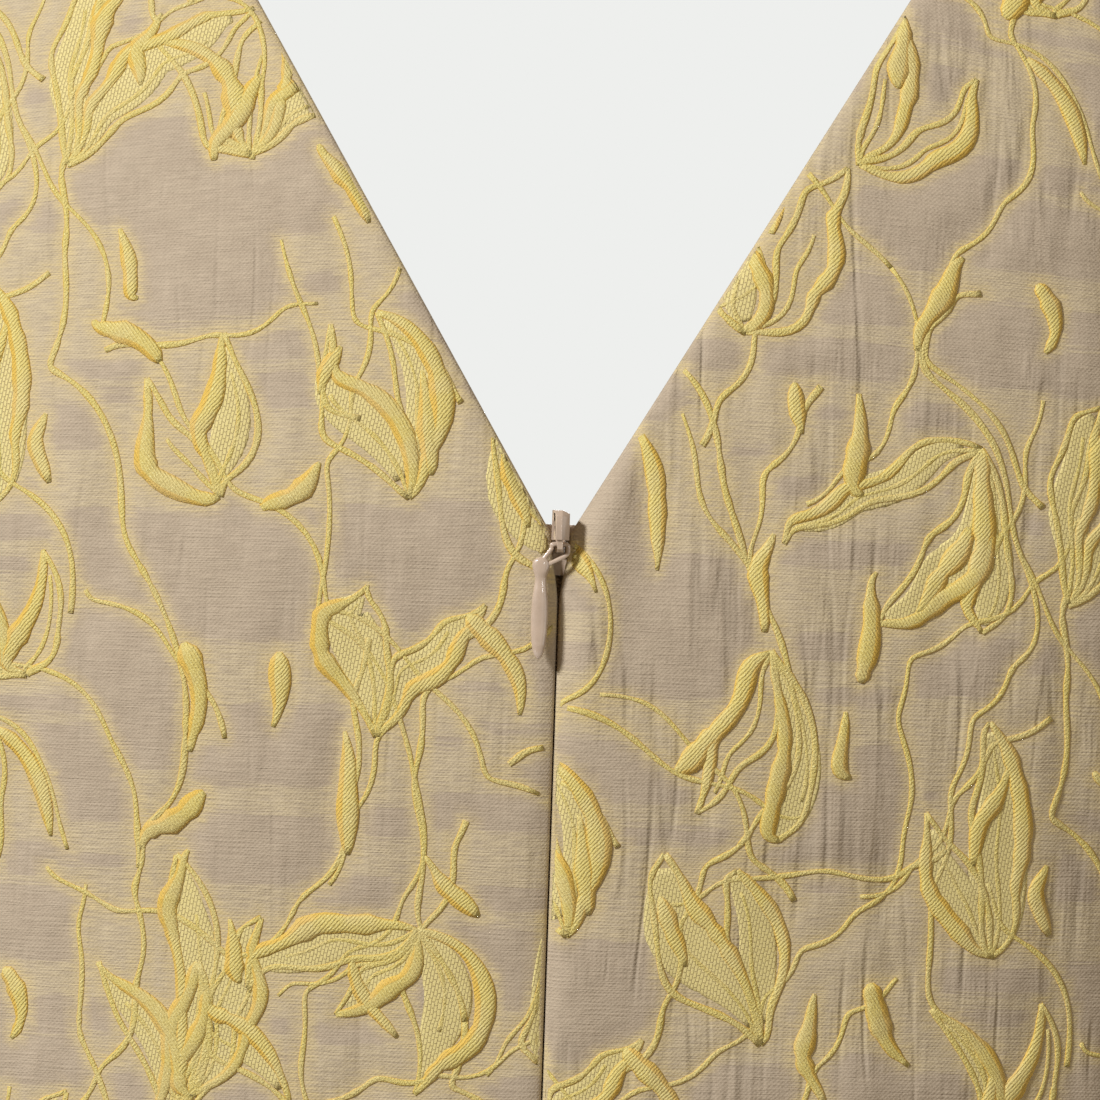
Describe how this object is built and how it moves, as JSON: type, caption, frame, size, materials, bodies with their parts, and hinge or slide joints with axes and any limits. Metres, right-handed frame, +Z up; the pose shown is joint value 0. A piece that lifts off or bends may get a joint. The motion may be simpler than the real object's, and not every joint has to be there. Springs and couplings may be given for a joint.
{
  "type": "sleeveless dress",
  "caption": "Sleeveless A-line dress of crinkled jacquard, V neck at front and back, with a concealed centre-back zip and its drop pull, worn and hollow.",
  "frame": {"origin": "midway between the shoulders, level with the inner ends of the shoulder seams, on the line of the shoulder seams", "axes": "+Z up along the wearer's body, +X towards the wearer's left, -Y the way the wearer faces"},
  "size_m": [0.5335, 0.417, 1.1202],
  "materials": {
    "jacquard": "matte beige jacquard with raised yellow floats",
    "zip_tape": "woven beige tape",
    "zip_nylon": "beige nylon coil",
    "zip_lacquer": "glossy beige lacquer"
  },
  "bodies": {
    "dress": {"front": "jacquard", "back_left": "jacquard", "back_right": "jacquard", "zip_tape_left": "zip_tape", "zip_tape_right": "zip_tape", "zip_chain": "zip_nylon", "zip_stop": "zip_lacquer", "zip_slider": "zip_lacquer"},
    "pull": {"zip_pull": "zip_lacquer"}
  },
  "joints": [
    {"name": "pull_swing", "type": "hinge", "parent": "dress", "child": "pull", "pos_m": [0, 0.10759, -0.16947], "axis": [1, 0, 0], "range_deg": [-3, 95]}
  ]
}
